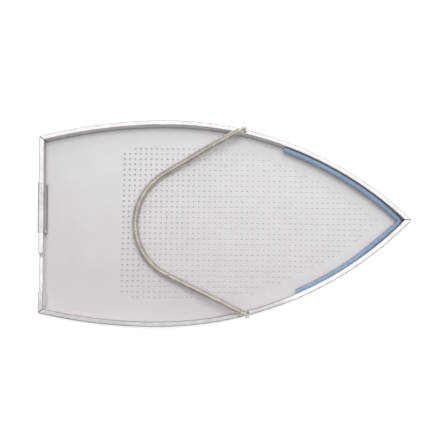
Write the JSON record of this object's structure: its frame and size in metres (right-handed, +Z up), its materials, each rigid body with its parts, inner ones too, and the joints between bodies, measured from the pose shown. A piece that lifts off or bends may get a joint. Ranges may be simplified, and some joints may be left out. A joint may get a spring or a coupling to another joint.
{
  "type": "iron shoe cover",
  "caption": "Slip-on sole cover for a steam iron: aluminium rim, perforated non-stick sheet, silicone nose tube and a spring loop that swings over the heel.",
  "frame": {"origin": "middle of the length and width, at the ironing face under the sole sheet", "axes": "+X from the heel to the tip, +Y to the left side seen from above with the tip ahead, +Z up from the ironing face"},
  "size_m": [0.207, 0.1158, 0.0128],
  "materials": {
    "rail_aluminium": "satin rolled aluminium strip",
    "sleeve_aluminium": "satin aluminium, slightly burnished",
    "ptfe_sheet": "translucent white PTFE sheet, waxy",
    "blue_silicone": "satin silicone tube",
    "spring_steel": "dull nickel-plated spring wire",
    "ring_wire": "dull steel wire"
  },
  "bodies": {
    "shoe": {"frame_rail": "rail_aluminium", "joining_sleeve": "sleeve_aluminium", "sole_sheet": "ptfe_sheet", "nose_tube": "blue_silicone", "anchor_ring_left": "ring_wire", "anchor_ring_right": "ring_wire"},
    "spring": {"retaining_spring": "spring_steel"}
  },
  "joints": [
    {"name": "spring_swing", "type": "hinge", "parent": "shoe", "child": "spring", "pos_m": [0.01098, 0, 0.011], "axis": [0, 1, 0], "range_deg": [0, 180]}
  ]
}
